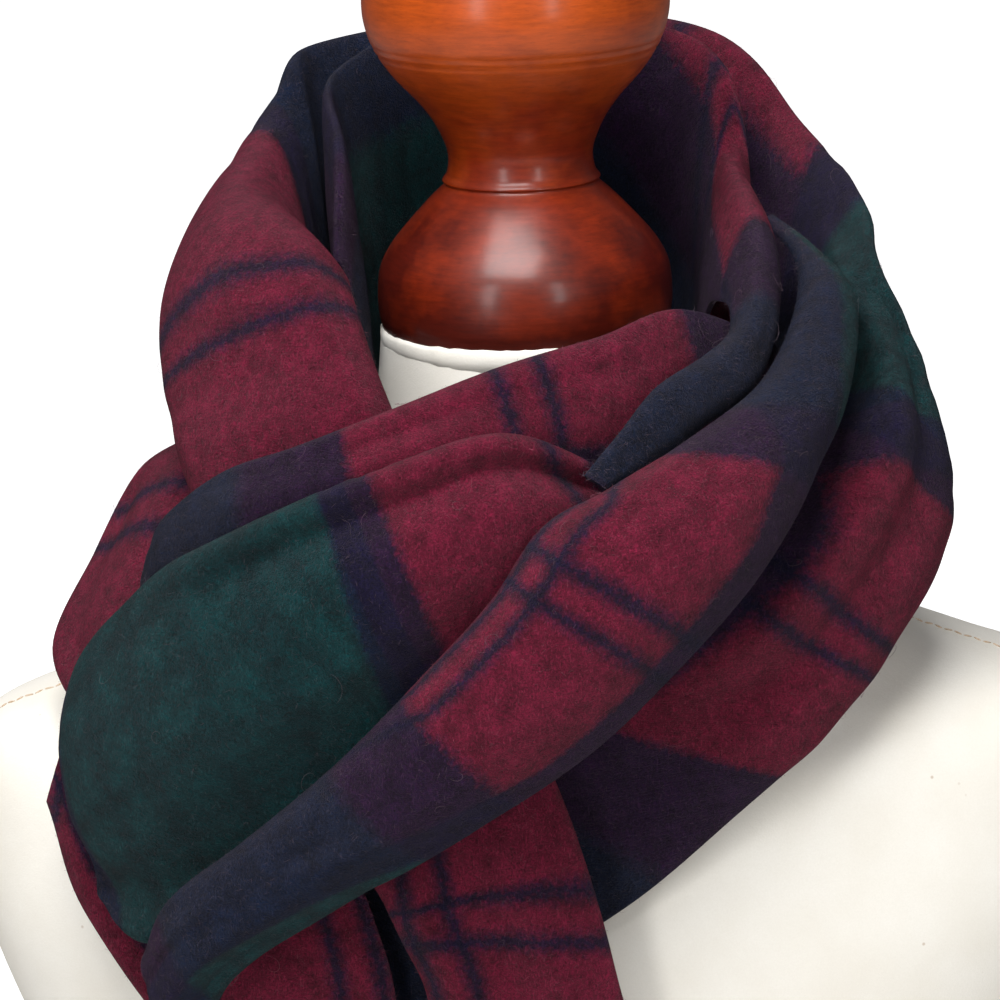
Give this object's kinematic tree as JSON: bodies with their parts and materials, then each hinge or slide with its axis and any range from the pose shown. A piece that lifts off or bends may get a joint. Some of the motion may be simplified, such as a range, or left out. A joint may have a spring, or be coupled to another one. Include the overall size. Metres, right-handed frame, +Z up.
{
  "type": "wool scarf, slip-knotted round a limbless dress form with a turned neck cap",
  "caption": "Brushed wool check scarf, doubled and slip-knotted round the neck of a cloth-covered dress form with a turned wooden neck cap.",
  "frame": {"origin": "middle of the flat base of the dress form, on the plane it stands on", "axes": "X across the shoulders to the viewer's right, Y from front to back with the front facing -Y, Z up"},
  "size_m": [0.424, 0.2968, 0.7773],
  "materials": {
    "cream_cover": "matt woven cover",
    "varnished_wood": "gloss varnish over stain",
    "wine_wool": "brushed nap",
    "green_wool": "brushed nap",
    "navy_wool": "brushed nap"
  },
  "bodies": {
    "root": {"torso": "cream_cover", "neck_cap": "varnished_wood", "strand_outer": "wine_wool", "collar_outer": "green_wool", "tail_over": "wine_wool", "strand_inner": "wine_wool", "collar_inner": "navy_wool", "roll": "wine_wool", "band": "wine_wool", "cowl": "green_wool", "tail_under": "wine_wool"}
  },
  "joints": []
}
